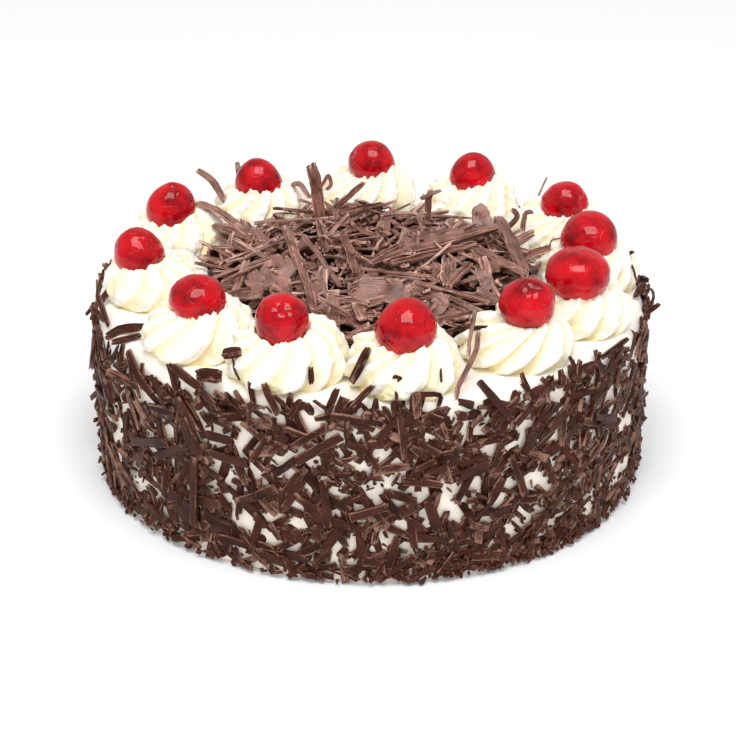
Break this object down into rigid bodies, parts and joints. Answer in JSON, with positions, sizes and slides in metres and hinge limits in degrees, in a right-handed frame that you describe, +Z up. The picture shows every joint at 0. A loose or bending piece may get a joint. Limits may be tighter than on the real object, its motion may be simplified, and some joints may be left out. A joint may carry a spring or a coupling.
{
  "type": "black forest cake",
  "caption": "Whole round black forest cake: whipped cream, a side coated in chocolate flakes, a heap of shavings on top and a ring of piped rosettes with glace cherries.",
  "frame": {"origin": "centre of the cake's flat base, on the surface it stands on", "axes": "+Z up, -Y towards the side that faces the viewer, +X to the viewer's right"},
  "size_m": [0.2496, 0.2496, 0.1141],
  "materials": {
    "cream": "soft matt whipped cream",
    "piped_cream": "soft satin whipped cream",
    "chocolate_flakes": "dark chocolate, satin",
    "chocolate_shavings": "dark chocolate, satin, greyer on scraped faces",
    "glace_cherry": "glossy syrup"
  },
  "bodies": {
    "root": {"cream_cake": "cream", "flake_coat": "chocolate_flakes", "shavings_heap": "chocolate_shavings", "rosette_01": "piped_cream", "rosette_02": "piped_cream", "rosette_03": "piped_cream", "rosette_04": "piped_cream", "rosette_05": "piped_cream", "rosette_06": "piped_cream", "rosette_07": "piped_cream", "rosette_08": "piped_cream", "rosette_09": "piped_cream", "rosette_10": "piped_cream", "rosette_11": "piped_cream", "rosette_12": "piped_cream", "cherry_01": "glace_cherry", "cherry_02": "glace_cherry", "cherry_03": "glace_cherry", "cherry_04": "glace_cherry", "cherry_05": "glace_cherry", "cherry_06": "glace_cherry", "cherry_07": "glace_cherry", "cherry_08": "glace_cherry", "cherry_09": "glace_cherry", "cherry_10": "glace_cherry", "cherry_11": "glace_cherry", "cherry_12": "glace_cherry"}
  },
  "joints": []
}
